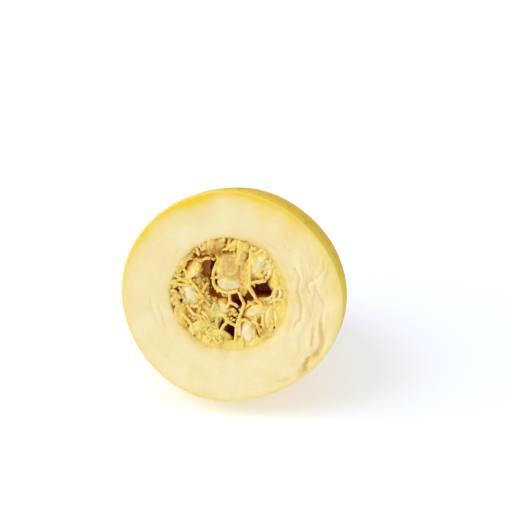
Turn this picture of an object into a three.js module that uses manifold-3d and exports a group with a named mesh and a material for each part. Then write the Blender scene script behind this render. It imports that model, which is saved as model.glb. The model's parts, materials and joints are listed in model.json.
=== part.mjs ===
// Half of a spaghetti squash, cut across its length and lying on its side on a table: the fruit
// with its rind and seed cavity, the dried stem, the stringy pulp and the seeds that the cut bared.
// Millimetres, +Z up. The cut faces -Y and leans back; the stem end points to +Y and dips down.
import * as THREE from "three";
import { mergeVertices } from "three/addons/utils/BufferGeometryUtils.js";
import Module from "manifold-3d";

const wasm = await Module();
wasm.setup();

// Driving dimensions. "Along" runs from the cut, at 0, to the stem end.
const halfLength = 115;
const cutWidth = 130;
const cutHeight = 123.6;
const bluntness = 2.4; // 2 would make the half an ellipsoid; more keeps it full for longer
const restTilt = THREE.MathUtils.degToRad(16.8); // where the centre of mass is over the contact
const restingFlat = 0.7; // how much of the underside is worn flat where the fruit lies
const touchGap = 0.3; // between pieces that touch

// The cut is not quite round: waves of 3 and 4 to the turn, as a share of the radius.
const outlineWaves = [
  { perTurn: 3, share: 0.0114, peakAt: 0 },
  { perTurn: 4, share: 0.0089, peakAt: -0.11 },
];
const stemRibs = 5;
const ribHeight = 1.3; // of the ridges that run out from the stem over the rind
const dimpleDepth = 3.5;
const dimpleRadius = 17;

const cavityWidth = 67;
const cavityHeight = 64;
const cavityDepth = 82;
const cavityCentre = { right: -1.5, up: 2.3 };
const cavityLobes = 3; // one for each carpel
const lobeShare = 0.03;

const pulpRecess = 3; // from the cut to the pulp

// How finely the rounded surfaces are divided.
const facets = {
  around: 60,
  rindRings: 17,
  cavityRings: 9,
  pulpRings: 8,
  stemAround: 40,
  seedAround: 12,
  pocket: [16, 10],
  strand: { steps: 8, curveSegments: 4 },
};

const seed = { length: 14, width: 8.8, thickness: 3 };
const seedProfile = [
  // share of the length from the blunt end, share of half the width
  [0, 0],
  [0.06, 0.46],
  [0.2, 0.82],
  [0.42, 1],
  [0.66, 0.86],
  [0.88, 0.44],
  [1, 0],
];

// Holes that the knife opened in the pulp, measured from the cavity's centre on the cut.
const pockets = [
  { right: -12.5, up: 11, width: 8.5, height: 15, depth: 24, turn: 8 },
  { right: 20.5, up: 4, width: 12, height: 8.5, depth: 26, turn: 12 },
  { right: 4, up: -5, width: 15, height: 9, depth: 17, turn: -10 },
  { right: 2.5, up: -19.5, width: 8, height: 15, depth: 24, turn: -6 },
];

// Seeds, on the same axes. depth is from the cut to the seed's middle, turn is the way its long
// side points on the cut, roll tips it round its long side and dip pushes its point inwards.
const seeds = [
  { right: 1.5, up: 5.4, depth: 2.6, turn: -8, roll: 8, dip: 10 },
  { right: 0.5, up: 17, depth: 5.2, turn: 62, roll: -30, dip: 14 },
  { right: -22.4, up: -3.2, depth: 2.8, turn: -66, roll: 16, dip: 8 },
  { right: 12.2, up: -21, depth: 2.6, turn: 96, roll: -12, dip: 6 },
  { right: 18, up: -10.2, depth: 3.4, turn: 26, roll: 20, dip: -8 },
  { right: 27.2, up: -11.8, depth: 4, turn: 84, roll: 48, dip: 6 },
  { right: 17.7, up: -21.8, depth: 7.2, turn: 38, roll: 14, dip: 4 },
  { right: 18, up: 20, depth: 3.6, turn: -48, roll: -26, dip: 10 },
  { right: 8.8, up: 23.4, depth: 4.2, turn: 84, roll: 58, dip: 8 },
  { right: -15.4, up: -13, depth: 6.4, turn: -36, roll: 30, dip: 12 },
  { right: -25.6, up: -15.6, depth: 3.6, turn: -70, roll: -34, dip: 6 },
  { right: -14.2, up: -22.6, depth: 3.6, turn: 14, roll: 22, dip: 8 },
  { right: 13.4, up: 12.6, depth: 4.2, turn: 66, roll: 32, dip: 12 },
  { right: -21.6, up: 13.2, depth: 4, turn: 58, roll: -38, dip: 10 },
  { right: -9, up: 26, depth: 4.8, turn: 8, roll: 34, dip: 8 },
  { right: -5.2, up: -9.4, depth: 4.4, turn: 24, roll: -24, dip: 12 },
  { right: 25.2, up: 11.2, depth: 4.8, turn: 108, roll: -46, dip: 8 },
  { right: -3.8, up: -26.4, depth: 4.6, turn: -14, roll: 36, dip: 6 },
];

// Strands of pulp that still span the pockets: from, to, and how far the middle sags inwards.
const strands = [
  { from: [-21, 7], to: [-4, -9], sag: 3, radius: 0.7 },
  { from: [11, 22], to: [21, -5], sag: 2, radius: 0.8 },
  { from: [-1, 1], to: [4, -14], sag: 5, radius: 0.6 },
  { from: [8, 2], to: [13, -10], sag: 4, radius: 0.6 },
  { from: [7, -12], to: [5.5, -29], sag: 2, radius: 0.8 },
  { from: [-3, -14], to: [3.5, -27], sag: 5, radius: 0.6 },
];

// The dried stem. root is how deep it is set in the rind, and pith is how far its end is sunk.
const stem = { baseRadius: 14, waistRadius: 8.5, topRadius: 9.5, length: 9, root: 7, pith: 1 };
const stemRibShare = 0.16;

// Joins rings of points, and a point at each end, into one closed surface.
function closedLoft(firstPole, rings, lastPole) {
  const around = rings[0].length;
  const points = [firstPole, ...rings.flat(), lastPole];
  const last = points.length - 1;
  const index = [];
  for (let k = 0; k < around; k += 1) {
    const next = (k + 1) % around;
    index.push(0, 1 + next, 1 + k);
    for (let ring = 0; ring < rings.length - 1; ring += 1) {
      const near = 1 + ring * around;
      const far = near + around;
      index.push(near + k, near + next, far + k);
      index.push(near + next, far + next, far + k);
    }
    const rim = last - around;
    index.push(rim + k, rim + next, last);
  }
  const geometry = new THREE.BufferGeometry().setFromPoints(points);
  geometry.setIndex(index);
  return geometry;
}

// The ring of points that pointAt gives for one turn.
function ring(segments, pointAt) {
  return Array.from({ length: segments }, (_, k) => pointAt((k / segments) * 2 * Math.PI));
}

// Steps from 0 to 1 that gather towards 1, where a rounded end turns in.
function roundedSteps(count) {
  return Array.from({ length: count }, (_, k) => Math.sin(((k + 1) / (count + 1)) * (Math.PI / 2)));
}

function toManifold(geometry) {
  const bare = geometry.clone();
  bare.deleteAttribute("normal");
  bare.deleteAttribute("uv");
  const merged = mergeVertices(bare, 1e-3);
  const vertProperties = merged.getAttribute("position").array;
  const triVerts = new Uint32Array(merged.getIndex().array);
  return new wasm.Manifold(new wasm.Mesh({ numProp: 3, vertProperties, triVerts }));
}

function toGeometry(solid) {
  const mesh = solid.getMesh();
  const geometry = new THREE.BufferGeometry();
  geometry.setAttribute("position", new THREE.BufferAttribute(mesh.vertProperties, 3));
  geometry.setIndex(new THREE.BufferAttribute(mesh.triVerts, 1));
  return geometry;
}

// A point on the rind. ribs is 0 or 1, because the stem's footprint leaves them out.
function rindPoint(along, angle, ribs = 1) {
  const share = along / halfLength;
  const fullness = Math.sqrt(1 - share ** bluntness);
  let radius = fullness;
  for (const wave of outlineWaves) {
    radius += fullness * wave.share * Math.cos(wave.perTurn * (angle - wave.peakAt));
  }
  const across = new THREE.Vector2(
    (cutWidth / 2) * radius * Math.cos(angle),
    (cutHeight / 2) * radius * Math.sin(angle),
  );
  const ridge = ribs * ribHeight * share ** 4 * fullness * Math.cos(2 * stemRibs * angle);
  across.setLength(Math.max(across.length() + ridge, 0));
  const dimple = dimpleDepth * Math.exp(-((across.length() / dimpleRadius) ** 2));
  return new THREE.Vector3(across.x, along - dimple, across.y);
}

// A point on the wall of the seed cavity, taken inset millimetres in from the flesh.
function cavityPoint(along, angle, inset = 0) {
  const depth = cavityDepth - inset;
  const fullness = Math.sqrt(1 - (along / depth) ** 2);
  const lobe = 1 + lobeShare * Math.cos(cavityLobes * (angle - Math.PI / 2));
  return new THREE.Vector3(
    cavityCentre.right + (cavityWidth / 2 - inset) * fullness * lobe * Math.cos(angle),
    along,
    cavityCentre.up + (cavityHeight / 2 - inset) * fullness * lobe * Math.sin(angle),
  );
}

// The fruit: rind, flat cut and cavity wall in one closed surface.
function fruitHalf() {
  const around = facets.around;
  const rings = [];
  for (const step of roundedSteps(facets.rindRings).reverse()) {
    rings.push(ring(around, (angle) => rindPoint(step * halfLength, angle)));
  }
  rings.push(ring(around, (angle) => rindPoint(0, angle)));
  rings.push(ring(around, (angle) => cavityPoint(0, angle)));
  for (const step of roundedSteps(facets.cavityRings)) {
    rings.push(ring(around, (angle) => cavityPoint(step * cavityDepth, angle)));
  }
  const stemPole = new THREE.Vector3(0, halfLength - dimpleDepth, 0);
  const cavityPole = new THREE.Vector3(cavityCentre.right, cavityDepth, cavityCentre.up);
  return closedLoft(stemPole, rings, cavityPole);
}

// The dried stem: five-ribbed, flared where it meets the rind, cut off square.
function driedStem() {
  const end = halfLength - dimpleDepth + stem.length;
  const start = halfLength - dimpleDepth - stem.root;
  const heights = [0, 0.3, 0.5, 0.72, 0.9, 1];
  const radii = [
    stem.baseRadius,
    stem.baseRadius,
    stem.waistRadius * 1.25,
    stem.waistRadius,
    stem.waistRadius,
    stem.topRadius,
  ];
  const rings = heights.map((height, k) =>
    ring(facets.stemAround, (angle) => {
      const radius = radii[k] * (1 + stemRibShare * Math.cos(stemRibs * angle));
      const along = start + height * (end - start);
      return new THREE.Vector3(radius * Math.cos(angle), along, radius * Math.sin(angle));
    }),
  );
  const first = new THREE.Vector3(0, start, 0);
  const last = new THREE.Vector3(0, end - stem.pith, 0);
  return closedLoft(last, rings.reverse(), first);
}

// A seed lying along X, blunt end at -X, flat side to Y. grow makes the bed that it sits in.
function seedGeometry(grow = 0) {
  const length = seed.length + 2 * grow;
  const profile = seedProfile.map(
    ([share, half]) => new THREE.Vector2(half * (seed.width / 2 + grow), share * length),
  );
  profile[0].x = 0;
  profile[profile.length - 1].x = 0;
  const geometry = new THREE.LatheGeometry(profile, facets.seedAround);
  geometry.translate(0, -length / 2, 0);
  geometry.rotateZ(-Math.PI / 2);
  geometry.scale(1, (seed.thickness + 2 * grow) / (seed.width + 2 * grow), 1);
  return geometry;
}

// Where a seed lies, as a matrix on the fruit's own axes.
function seedPlace({ right, up, depth, turn, roll, dip }) {
  const place = new THREE.Vector3(cavityCentre.right + right, depth, cavityCentre.up + up);
  const [turned, rolled, dipped] = [turn, roll, dip].map(THREE.MathUtils.degToRad);
  const turning = new THREE.Quaternion().setFromEuler(new THREE.Euler(0, -turned, 0));
  const dipping = new THREE.Quaternion().setFromEuler(new THREE.Euler(rolled, 0, dipped, "ZXY"));
  return new THREE.Matrix4().compose(
    place,
    turning.multiply(dipping),
    new THREE.Vector3(1, 1, 1),
  );
}

// The pulp fills the cavity up to a little below the cut, with pockets and a bed for each seed.
function stringyPulp() {
  const around = facets.around;
  const start = new THREE.Vector3(cavityCentre.right, pulpRecess, cavityCentre.up);
  const rings = [ring(around, (angle) => cavityPoint(pulpRecess, angle, touchGap))];
  const deepest = cavityDepth - touchGap;
  for (const step of roundedSteps(facets.pulpRings)) {
    const along = pulpRecess + step * (deepest - pulpRecess);
    rings.push(ring(around, (angle) => cavityPoint(along, angle, touchGap)));
  }
  const end = new THREE.Vector3(cavityCentre.right, deepest, cavityCentre.up);
  let solid = toManifold(closedLoft(end, rings.reverse(), start));
  for (const pocket of pockets) {
    const hole = new THREE.SphereGeometry(1, ...facets.pocket);
    hole.rotateX(Math.PI / 2);
    hole.scale(pocket.width / 2, pocket.depth, pocket.height / 2);
    hole.rotateY(-THREE.MathUtils.degToRad(pocket.turn));
    hole.translate(cavityCentre.right + pocket.right, 0, cavityCentre.up + pocket.up);
    solid = solid.subtract(toManifold(hole));
  }
  for (const strand of strands) {
    solid = solid.add(toManifold(strandGeometry(strand)));
  }
  for (const place of seeds) {
    solid = solid.subtract(toManifold(seedGeometry(touchGap).applyMatrix4(seedPlace(place))));
  }
  return toGeometry(solid);
}

// A strand between two points of the pulp's face, with its ends buried in the pulp.
function strandGeometry({ from, to, sag, radius }) {
  const buried = pulpRecess + 2 * radius;
  const at = ([right, up], depth) =>
    new THREE.Vector3(cavityCentre.right + right, depth, cavityCentre.up + up);
  const middle = [(from[0] + to[0]) / 2, (from[1] + to[1]) / 2];
  const path = new THREE.CatmullRomCurve3([
    at(from, buried),
    at(middle, pulpRecess + sag / 2),
    at(to, buried),
  ]);
  const outline = new THREE.Shape().absarc(0, 0, radius, 0, 2 * Math.PI);
  return new THREE.ExtrudeGeometry(outline, { ...facets.strand, extrudePath: path });
}

function finish(color, roughness) {
  return new THREE.MeshStandardMaterial({ color, roughness, metalness: 0 });
}

const finishes = {
  flesh: finish("#f2df9a", 0.55),
  stem: finish("#b2935c", 0.9),
  pulp: finish("#e3a83a", 0.4),
  seed: finish("#ead9a2", 0.35),
};

function named(name, geometry, material) {
  const mesh = new THREE.Mesh(geometry, material);
  mesh.name = name;
  return mesh;
}

// The fruit on its own axes, before it is laid down.
const fruit = new THREE.Group();
const half = toManifold(fruitHalf());

// Everything leans back by the rest tilt, and the underside is cut level where it touches.
const lean = new THREE.Matrix4().makeRotationX(-restTilt);
const lowest = new THREE.Box3().setFromBufferAttribute(
  toGeometry(half).applyMatrix4(lean).getAttribute("position"),
).min.z;
const table = new THREE.BoxGeometry(2 * cutWidth, 4 * halfLength, cutHeight);
table.translate(0, 0, lowest + restingFlat - cutHeight / 2);
table.applyMatrix4(lean.clone().invert());

const restingHalf = half.subtract(toManifold(table));
fruit.add(named("squash_half", toGeometry(restingHalf), finishes.flesh));

const rindUnderStem = half.translate([0, touchGap, 0]);
const stemSolid = toManifold(driedStem()).subtract(rindUnderStem);
fruit.add(named("stem", toGeometry(stemSolid), finishes.stem));

fruit.add(named("pulp", stringyPulp(), finishes.pulp));

seeds.forEach((place, k) => {
  const number = String(k + 1).padStart(2, "0");
  const geometry = seedGeometry().applyMatrix4(seedPlace(place));
  fruit.add(named(`seed_${number}`, geometry, finishes.seed));
});

fruit.rotation.x = -restTilt;

// The origin is under the middle of the whole thing, on the table.
const squash = new THREE.Group();
squash.add(fruit);
squash.updateMatrixWorld(true);
const box = new THREE.Box3().setFromObject(squash, true);
const middle = box.getCenter(new THREE.Vector3());
fruit.position.set(-middle.x, -middle.y, -box.min.z);

export default squash;
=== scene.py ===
import json
import math
import random

import bpy
import numpy as np
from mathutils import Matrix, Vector


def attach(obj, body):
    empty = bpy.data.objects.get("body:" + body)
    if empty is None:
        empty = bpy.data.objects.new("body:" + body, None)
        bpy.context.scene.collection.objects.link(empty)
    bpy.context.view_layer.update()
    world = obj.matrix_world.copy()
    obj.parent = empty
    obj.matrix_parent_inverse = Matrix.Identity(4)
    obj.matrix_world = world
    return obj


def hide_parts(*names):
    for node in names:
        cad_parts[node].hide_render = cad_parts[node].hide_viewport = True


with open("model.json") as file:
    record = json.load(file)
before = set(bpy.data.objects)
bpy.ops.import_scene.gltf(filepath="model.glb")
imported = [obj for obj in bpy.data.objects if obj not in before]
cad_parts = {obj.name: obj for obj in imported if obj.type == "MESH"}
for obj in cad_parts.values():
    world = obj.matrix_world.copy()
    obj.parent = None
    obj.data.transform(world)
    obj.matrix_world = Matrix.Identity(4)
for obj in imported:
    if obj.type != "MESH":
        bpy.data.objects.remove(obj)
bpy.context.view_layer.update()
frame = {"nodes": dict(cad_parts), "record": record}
mm = 0.001

# The fruit's own axes: right across the cut, along from the cut to the stem end, up the cut.
# The cut's mount gives them, because it stands on the cut, this many mm straight up from its middle.
mountUp = 48
cutMount = next(mount for mount in frame["record"]["mounts"] if mount["name"] == "cut_face")
rightAxis = Vector((1, 0, 0))
alongAxis = -Vector(cutMount["axis"]).normalized()
upAxis = rightAxis.cross(alongAxis)
fruitAxes = np.array([rightAxis, alongAxis, upAxis])
fruitOrigin = np.array(cutMount["pos_m"]) - mountUp * mm * fruitAxes[2]


def laid(points):  # from mm on the fruit's own axes to metres in the frame
    return fruitOrigin + mm * np.asarray(points, float) @ fruitAxes


def standing(points):  # and back
    return (np.asarray(points, float) - fruitOrigin) @ fruitAxes.T / mm


def smooth(low, high, value):
    t = np.clip((value - low) / (high - low), 0, 1)
    return t * t * (3 - 2 * t)


def bumps(points, size, seed, octaves=1):  # smooth random hills about size mm across, from -1 to 1
    table = np.random.default_rng(seed)
    order = table.permutation(256)
    slopes = table.normal(size=(256, 3))
    slopes /= np.linalg.norm(slopes, axis=1)[:, None]
    points = np.atleast_2d(points).astype(float)
    total = np.zeros(len(points))
    for octave in range(octaves):
        place = points / size * 2 ** octave + 17.3 * octave
        cell = np.floor(place).astype(int)
        inside = place - cell
        fade = inside ** 3 * (inside * (inside * 6 - 15) + 10)
        value = np.zeros(len(points))
        for corner in np.ndindex(2, 2, 2):
            at = cell + corner
            pick = order[(order[(order[at[:, 0] & 255] + at[:, 1]) & 255] + at[:, 2]) & 255]
            weight = np.prod(np.where(corner, fade, 1 - fade), axis=1)
            value += weight * ((inside - corner) * slopes[pick]).sum(axis=1)
        total += 1.6 * value / 2 ** octave
    return total


def columns(*parts):  # side by side, where a single number stands for a whole column
    return np.column_stack(np.broadcast_arrays(*parts))


def wander(points, size, *seeds, octaves=1):  # a hill's height for each seed, to move points by
    return columns(*[bumps(points, size, seed, octaves) for seed in seeds])


def curveThrough(stops, steps=8):  # a smooth line through the stops
    stops = np.asarray(stops, float)
    padded = np.vstack([2 * stops[0] - stops[1], stops, 2 * stops[-1] - stops[-2]])
    line = []
    for k in range(len(stops) - 1):
        a, b, c, d = padded[k:k + 4]
        for t in np.arange(steps) / steps:
            line.append(0.5 * (2 * b + (c - a) * t + (2 * a - 5 * b + 4 * c - d) * t ** 2
                               + (3 * b - a - 3 * c + d) * t ** 3))
    return np.array(line + [stops[-1]])


def turnsOf(around):
    return np.arange(around) / around * 2 * math.pi


def cosSin(degrees):
    return math.cos(math.radians(degrees)), math.sin(math.radians(degrees))


def facing(angle, degrees, low, high):  # 1 where an angle lies near a direction, 0 far from it
    return smooth(low, high, np.cos(angle - math.radians(degrees)))


def turnedPlace(points, middle, turn, longHalf, shortHalf):  # along and across an oval, 1 at its edge
    c, s = cosSin(turn)
    x, z = (points - middle).T
    return (c * x + s * z) / longHalf, (c * z - s * x) / shortHalf


def gridFaces(rows, around):  # quads between rings of points, each ring closed on itself
    k = np.arange(around)
    after = (k + 1) % around
    starts = (np.arange(rows - 1) * around)[:, None]
    quads = np.stack([starts + k, starts + after, starts + around + after, starts + around + k], axis=-1)
    return quads.reshape(-1, 4).tolist()


def closedRings(rings, firstPole, lastPole):  # rings of points joined, with a pole at each end
    around = len(rings[0])
    points = np.vstack([*rings, [firstPole], [lastPole]])
    faces = gridFaces(len(rings), around)
    first, last, rim = len(points) - 2, len(points) - 1, (len(rings) - 1) * around
    for k in range(around):
        after = (k + 1) % around
        faces.append([first, after, k])
        faces.append([rim + k, rim + after, last])
    return points, faces


def linked(name, data):  # an object of this mesh, lamp or camera, in the scene
    thing = bpy.data.objects.new(name, data)
    bpy.context.scene.collection.objects.link(thing)
    return thing


def meshPiece(name, points, faces, materials=(), edges=()):  # points in metres
    mesh = bpy.data.meshes.new(name)
    mesh.from_pydata(np.asarray(points).tolist(), edges, faces)
    mesh.polygons.foreach_set("use_smooth", [True] * len(mesh.polygons))
    for material in materials:
        mesh.materials.append(material)
    return linked(name, mesh)


def setNumbers(piece, name, values):  # one number for each point, which a material can read
    layer = piece.data.attributes.new(name, "FLOAT", "POINT")
    layer.data.foreach_set("value", np.asarray(values, np.float32))


def setVectors(piece, name, values):
    layer = piece.data.attributes.new(name, "FLOAT_VECTOR", "POINT")
    layer.data.foreach_set("vector", np.asarray(values, np.float32).ravel())


def meshPoints(mesh):  # in metres
    places = np.zeros(len(mesh.vertices) * 3, np.float32)
    mesh.vertices.foreach_get("co", places)
    return places.reshape(-1, 3)


def nodeGroup(name, **numbers):  # an empty tree with geometry in and out, and its numbers' identifiers
    tree = bpy.data.node_groups.new(name, "GeometryNodeTree")
    tree.interface.new_socket("Geometry", in_out="INPUT", socket_type="NodeSocketGeometry")
    sockets = [tree.interface.new_socket(number, in_out="INPUT", socket_type=f"NodeSocket{kind}")
               for number, kind in numbers.items()]
    tree.interface.new_socket("Geometry", in_out="OUTPUT", socket_type="NodeSocketGeometry")
    return tree, [socket.identifier for socket in sockets]


def dressOutput(tree, geometry, material):  # smooth and real, with its material set
    for kind, inputs in (("GeometryNodeSetShadeSmooth", {}), ("GeometryNodeRealizeInstances", {}),
                         ("GeometryNodeSetMaterial", {"Material": material}), ("NodeGroupOutput", {})):
        geometry = addNode(tree, kind, None, {"Geometry": geometry, **inputs})


def plainMesh(worker, name):  # what the worker's modifiers make, as a mesh of its own
    bpy.context.view_layer.update()
    depsgraph = bpy.context.evaluated_depsgraph_get()
    mesh = bpy.data.meshes.new_from_object(
        worker.evaluated_get(depsgraph), preserve_all_data_layers=True, depsgraph=depsgraph)
    worker.modifiers.clear()
    bpy.data.objects.remove(worker)
    mesh.name = name
    return linked(name, mesh)


def modify(worker, kind, **settings):
    modifier = worker.modifiers.new(kind.lower(), kind)
    for key, value in settings.items():
        setattr(modifier, key, value)
    return modifier


def runTree(worker, name, tree, numbers):  # the tree's numbers are set by their sockets' identifiers
    modifier = modify(worker, "NODES", node_group=tree)
    for socket, number in numbers.items():
        modifier[socket] = number
    return plainMesh(worker, name)


def finishPiece(piece, slot, *nodes):
    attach(piece, "root")
    if nodes:
        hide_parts(*nodes)
    print(piece.name, len(piece.data.polygons), "faces")


def linear(hexColour):  # sRGB hex to the linear values that a shader takes
    parts = [int(hexColour[k:k + 2], 16) / 255 for k in (1, 3, 5)]
    return [c / 12.92 if c <= 0.04045 else ((c + 0.055) / 1.055) ** 2.4 for c in parts] + [1]


def addNode(tree, kind, settings=None, inputs=None):  # adds a node, sets it, and links or fills its inputs
    node = tree.nodes.new(kind)
    for key, value in (settings or {}).items():
        setattr(node, key, value)
    for key, value in (inputs or {}).items():
        socket = node.inputs[key]
        value = value.outputs[0] if isinstance(value, bpy.types.Node) else value  # its first output
        if isinstance(value, bpy.types.NodeSocket):
            tree.links.new(value, socket)
        elif isinstance(value, str) and value.startswith("#"):
            socket.default_value = linear(value)
        else:
            socket.default_value = value
    return node


def newMaterial(name):
    material = bpy.data.materials.new(name)
    material.use_nodes = True
    material.node_tree.nodes.clear()
    return material, material.node_tree


def blended(tree, share, first, second):  # the second colour laid over the first by a share
    return addNode(tree, "ShaderNodeMix", {"data_type": "RGBA"}, {0: share, 6: first, 7: second}).outputs[2]


def layered(tree, colour, *layers):  # each is a colour, the value that lays it on and the value's ramp
    for over, share, *ramp in layers:
        colour = blended(tree, ramped(tree, share, *ramp) if ramp else share, colour, over)
    return colour


def ramped(tree, value, low, high, bottom=0.0, top=1.0):  # a value stretched from low..high to bottom..top
    return addNode(tree, "ShaderNodeMapRange", {"interpolation_type": "SMOOTHSTEP"},
                   {"Value": value, "From Min": low, "From Max": high, "To Min": bottom, "To Max": top})


def grains(tree, sizeMm, detail=3.0, vector=None, roughness=0.5):  # noise with hills of a real size in mm
    vector = vector or addNode(tree, "ShaderNodeTexCoord").outputs["Object"]
    return addNode(tree, "ShaderNodeTexNoise", None,
                   {"Vector": vector, "Scale": 1 / (sizeMm * mm), "Detail": detail, "Roughness": roughness})


def read(tree, name, output="Fac"):  # an attribute of the mesh
    return addNode(tree, "ShaderNodeAttribute", {"attribute_name": name}).outputs[output]


def surface(tree, colour, settings, height=None, depthMm=0.1, roughness=None):
    inputs = {"Base Color": colour, **settings}
    if height is not None:
        inputs["Normal"] = addNode(tree, "ShaderNodeBump", None,
                                   {"Height": height, "Strength": 1.0, "Distance": depthMm * mm})
    if roughness is not None:
        inputs["Roughness"] = roughness
    shader = addNode(tree, "ShaderNodeBsdfPrincipled", None, inputs)
    addNode(tree, "ShaderNodeOutputMaterial", None, {"Surface": shader})


def ripeRind():  # waxy, smooth skin of a ripe squash: warm yellow, with faint streaks towards the stem
    material, tree = newMaterial("ripeRind")
    streaks = grains(tree, 1000, 4.0, read(tree, "grain", "Vector"))
    scar = blended(tree, ramped(tree, grains(tree, 2.2, 4.0), 0.4, 0.62), "#94692f", "#c79f55")
    colour = layered(
        tree, "#f2c31c",
        ("#eab51a", grains(tree, 26, 2.0), 0.35, 0.7),
        ("#e8ac24", read(tree, "stemEnd"), 0.2, 1.0),
        ("#f8d833", read(tree, "cutEnd")),
        ("#f3d24e", streaks, 0.5, 0.72, 0, 0.35),
        ("#d49f2c", streaks, 0.5, 0.3, 0, 0.35),
        ("#b5822c", grains(tree, 5.5, 5.0), 0.68, 0.78, 0, 0.2),
        ("#f2d766", grains(tree, 1.4, 2.0), 0.7, 0.78, 0, 0.25),
        (scar, read(tree, "scar")))
    height = blended(tree, 0.5, grains(tree, 0.7, 2.0), grains(tree, 4.0, 2.0))
    surface(tree, colour, {"Subsurface Weight": 0.1, "Subsurface Radius": (1.0, 0.6, 0.2),
                           "Subsurface Scale": 2 * mm, "IOR": 1.4, "Specular IOR Level": 0.03},
            height, 0.06, ramped(tree, read(tree, "scar"), 0, 1, 0.5, 0.8))
    return material


def moistFlesh():  # raw squash flesh, cut with a long knife: moist, close-grained, light passes into it
    material, tree = newMaterial("moistFlesh")
    fibres = grains(tree, 1000, 3.0, read(tree, "grain", "Vector"), 0.6)
    colour = layered(
        tree, "#f8e9ba",
        ("#f4e2a9", grains(tree, 16, 3.0), 0.35, 0.68),
        ("#ecd694", fibres, 0.42, 0.28, 0, 0.45),
        ("#fbf0cb", fibres, 0.58, 0.72, 0, 0.45),
        ("#fdf6dc", grains(tree, 1.1, 2.0), 0.68, 0.76, 0, 0.5),
        ("#f4d436", read(tree, "rimTint")),
        ("#ecc95a", read(tree, "coreTint")),
        # painted shade: darker yellow in the knife's grooves and hollows
        ("#e0bb56", read(tree, "hollowShade")))
    height = blended(tree, 0.6, grains(tree, 0.6, 3.0), fibres)
    surface(tree, colour, {"Subsurface Weight": 0.3, "Subsurface Radius": (1.0, 0.75, 0.35),
                           "Subsurface Scale": 2.5 * mm, "IOR": 1.38, "Specular IOR Level": 0.35},
            height, 0.12, ramped(tree, grains(tree, 3.0, 3.0), 0.3, 0.7, 0.36, 0.55))
    return material


def wetPulp():  # stringy pulp round the seeds: wet and glassy, straw yellow, with amber, brown and maroon painted shade in its gaps and deep pockets
    material, tree = newMaterial("wetPulp")
    tint, gapShade, deep = [read(tree, name) for name in ("tint", "gapShade", "deep")]
    colour = layered(
        tree, "#fceebb",
        ("#f6da68", tint, 0.08, 0.36),
        ("#ddb556", tint, 0.45, 0.8),
        ("#c4953e", tint, 0.8, 1.0),
        ("#fdf0c4", grains(tree, 1.6, 3.0), 0.47, 0.68, 0, 0.35),
        # painted shade: amber to brown where the pulp lies below its own smoothed top, in its gaps and pits
        ("#e8a738", gapShade, 0.0, 0.55),
        ("#c87824", gapShade, 0.45, 1.0),
        # painted shade: orange, brown and maroon, the deeper the pulp lies below the cut, in its pockets
        ("#cf8630", deep, 0.08, 0.35),
        ("#bd5e20", deep, 0.3, 0.62),
        ("#b0321c", deep, 0.6, 1.0))
    surface(tree, colour, {"Subsurface Weight": 0.35, "Subsurface Radius": (1.0, 0.6, 0.2),
                           "Subsurface Scale": 1.4 * mm, "IOR": 1.36, "Coat Weight": 0.12,
                           "Coat Roughness": 0.15},
            grains(tree, 0.6, 2.0), 0.06, ramped(tree, grains(tree, 1.5, 2.0), 0.3, 0.7, 0.34, 0.55))
    return material


def seedShell():  # a fresh seed's papery shell under a wet film: cream, smooth, a little see-through
    material, tree = newMaterial("seedShell")
    colour = layered(
        tree, "#f6e9bc",
        ("#ecdb98", grains(tree, 3.5, 3.0), 0.35, 0.7),
        ("#e9cc74", read(tree, "margin"), 0.2, 1.0, 0, 0.85),
        ("#d9c07a", grains(tree, 0.8, 3.0), 0.55, 0.75, 0, 0.25))
    surface(tree, colour, {"Subsurface Weight": 0.3, "Subsurface Radius": (1.0, 0.8, 0.4),
                           "Subsurface Scale": 1.5 * mm, "IOR": 1.4, "Coat Weight": 0.5,
                           "Coat Roughness": 0.1},
            grains(tree, 0.9, 2.0), 0.05, ramped(tree, grains(tree, 2.0, 2.0), 0.3, 0.7, 0.25, 0.45))
    return material


def corkyStem():  # a stem dried to cork: tan, dull, cracked along its ribs
    material, tree = newMaterial("corkyStem")
    cracks = grains(tree, 1000, 5.0, read(tree, "grain", "Vector"), 0.65)
    colour = layered(
        tree, "#a47c44",
        ("#dcbd83", cracks, 0.35, 0.65),
        ("#8f9150", grains(tree, 6, 3.0), 0.5, 0.7, 0, 0.5),
        ("#5f4020", cracks, 0.36, 0.26, 0, 0.8),
        ("#e3cc9a", read(tree, "pith"), 0, 1, 0, 0.6))
    height = blended(tree, 0.5, cracks, grains(tree, 0.8, 3.0))
    surface(tree, colour, {"IOR": 1.45, "Roughness": 0.85}, height, 0.5)
    return material


rindMaterial = ripeRind()
fleshMaterial = moistFlesh()
pulpMaterial = wetPulp()
seedMaterial = seedShell()
stemMaterial = corkyStem()
print("materials made")


# The fruit: its rind, the cut and the wall of the cavity, in mm on its own axes.
fruit = {
    "halfLength": 115, "cutWidth": 130, "cutHeight": 123.6, "bluntness": 2.4,
    "waves": [(3, 0.0114, 0), (4, 0.0089, -0.11)],  # per turn, share of the radius, where it peaks
    "stemRibs": 5, "ribHeight": 1.3, "dimpleDepth": 3.5, "dimpleRadius": 17,
    "around": 480, "rindRings": 66, "cutRings": 92, "wallRings": 22,
    "rimRound": 1.3, "rimTurns": (0, 18, 36, 54, 72), "rimRings": 3,  # the last of them are flesh, not rind
    "dents": 0.3,  # how uneven the rind is
    "edgeSoft": (0.9, 5.2), "edgeDrop": (0.6, 1.2),  # the cavity's edge: where crisp, and more where soft
    "chip": {"at": 68, "wide": 0.03, "deep": 0.9},  # taken from the rim by the knife
    "floorGap": 0.05, "scar": 13,  # the cork that the stem left round itself
}
cavity = {
    "width": 67, "height": 64, "depth": 82, "right": -1.5, "up": 2.3, "lobes": 3, "lobeShare": 0.03,
    "torn": 0.9, "tornReach": 9,  # how far the edge wanders, and how far in
}
cavityMiddle = np.array([cavity["right"], 0, cavity["up"]])

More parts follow.
